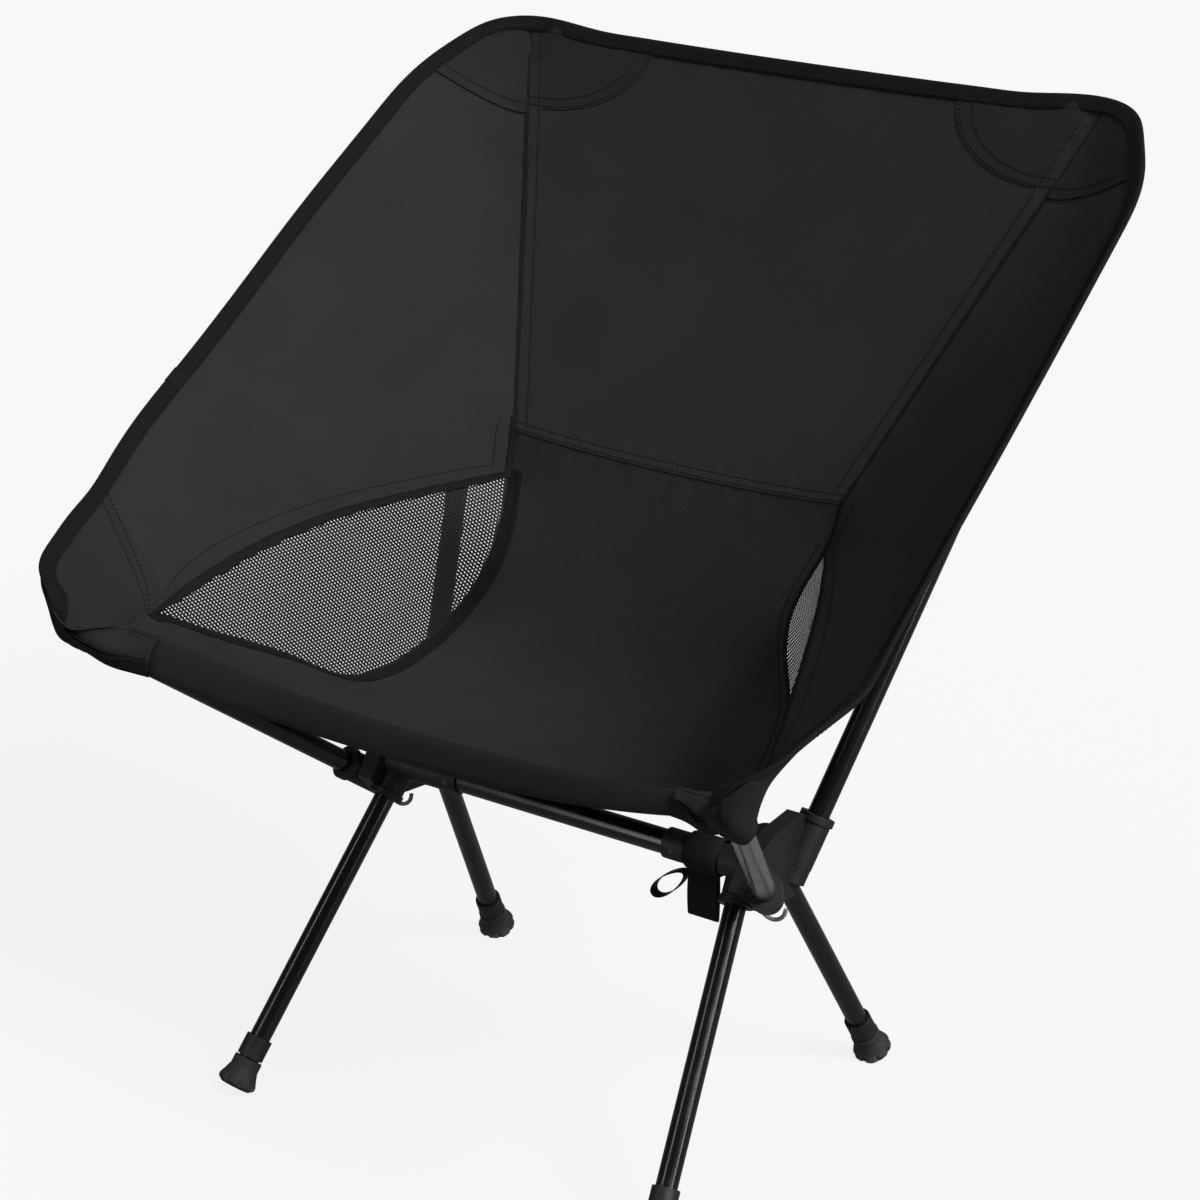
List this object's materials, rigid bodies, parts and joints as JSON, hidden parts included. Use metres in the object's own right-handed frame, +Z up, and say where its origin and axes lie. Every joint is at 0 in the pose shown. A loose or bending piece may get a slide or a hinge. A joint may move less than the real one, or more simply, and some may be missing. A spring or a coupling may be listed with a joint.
{
  "type": "folding camping chair",
  "caption": "Low folding chair: cloth sling with mesh vents on poles that plug into two hubs joined by a crossbar, on splayed legs with rubber boots.",
  "frame": {"origin": "on the ground under the middle of the chair's bounding box", "axes": "+Z up, the sitter faces -Y, +X is the sitter's left hand; the chair is symmetric about the YZ plane apart from the storage strap and one pole's finish"},
  "size_m": [0.5936, 0.5105, 0.6627],
  "materials": {
    "black_tube": "black anodised tube, semi-gloss",
    "bare_aluminium": "bare drawn tube, satin",
    "hub_plastic": "moulded glass-filled nylon, fine matte grain",
    "nylon": "moulded nylon",
    "boot_rubber": "moulded rubber, matte",
    "shock_cord": "braided elastic cord",
    "pin_steel": "plain pin",
    "webbing": "woven webbing",
    "binding_tape": "ribbed binding tape",
    "vent_mesh": "open knitted mesh",
    "sling_cloth": "plain-woven coated cloth"
  },
  "bodies": {
    "frame": {"back_ferrule_left": "bare_aluminium", "back_ferrule_right": "bare_aluminium", "back_panel": "sling_cloth", "back_pocket_left": "sling_cloth", "back_pocket_right": "sling_cloth", "back_pole_lower_left": "black_tube", "back_pole_lower_right": "black_tube", "back_pole_upper_left": "black_tube", "back_pole_upper_right": "black_tube", "back_tip_left": "nylon", "back_tip_right": "nylon", "cord_loop_left": "shock_cord", "cord_loop_right": "shock_cord", "crossbar": "black_tube", "crossbar_pins": "pin_steel", "edge_binding_left": "binding_tape", "edge_binding_right": "binding_tape", "front_corner_left": "sling_cloth", "front_corner_right": "sling_cloth", "front_hem": "sling_cloth", "front_pocket_left": "sling_cloth", "front_pocket_right": "sling_cloth", "front_pole_left": "black_tube", "front_pole_right": "bare_aluminium", "front_tip_left": "nylon", "front_tip_right": "nylon", "hub_left": "hub_plastic", "hub_right": "hub_plastic", "leg_cord_front_left": "shock_cord", "leg_cord_front_right": "shock_cord", "leg_cord_rear_left": "shock_cord", "leg_cord_rear_right": "shock_cord", "seat_panel": "sling_cloth", "top_binding": "binding_tape", "vent_left": "vent_mesh", "vent_right": "vent_mesh", "wing_left": "sling_cloth", "wing_right": "sling_cloth"},
    "leg_front_right_body": {"leg_front_right": "black_tube", "leg_plug_front_right": "nylon", "boot_front_right": "boot_rubber", "foot_sleeve_front_right": "hub_plastic"},
    "leg_front_left_body": {"leg_front_left": "black_tube", "leg_plug_front_left": "nylon", "boot_front_left": "boot_rubber", "foot_sleeve_front_left": "hub_plastic"},
    "leg_rear_right_body": {"leg_rear_right": "black_tube", "leg_plug_rear_right": "nylon", "boot_rear_right": "boot_rubber", "foot_sleeve_rear_right": "hub_plastic"},
    "leg_rear_left_body": {"leg_rear_left": "black_tube", "leg_plug_rear_left": "nylon", "boot_rear_left": "boot_rubber", "foot_sleeve_rear_left": "hub_plastic"},
    "storage_strap": {"strap_wrap": "webbing", "strap_tag": "webbing", "strap_ribbon": "webbing"}
  },
  "joints": [
    {"name": "leg_front_right_pull", "type": "slide", "parent": "frame", "child": "leg_front_right_body", "axis": [0.1257, -0.6151, -0.7783], "range_m": [0, 0.036], "stiffness_N_per_m": 120, "springref_m": -0.04},
    {"name": "leg_front_left_pull", "type": "slide", "parent": "frame", "child": "leg_front_left_body", "axis": [-0.1257, -0.6151, -0.7783], "range_m": [0, 0.036], "stiffness_N_per_m": 120, "springref_m": -0.04},
    {"name": "leg_rear_right_pull", "type": "slide", "parent": "frame", "child": "leg_rear_right_body", "axis": [0.119, 0.4857, -0.866], "range_m": [0, 0.036], "stiffness_N_per_m": 120, "springref_m": -0.04},
    {"name": "leg_rear_left_pull", "type": "slide", "parent": "frame", "child": "leg_rear_left_body", "axis": [-0.119, 0.4857, -0.866], "range_m": [0, 0.036], "stiffness_N_per_m": 120, "springref_m": -0.04},
    {"name": "strap_swing", "type": "hinge", "parent": "frame", "child": "storage_strap", "pos_m": [0.1145, -0.04485, 0.203], "axis": [1, 0, 0], "range_deg": [-60, 60]}
  ]
}
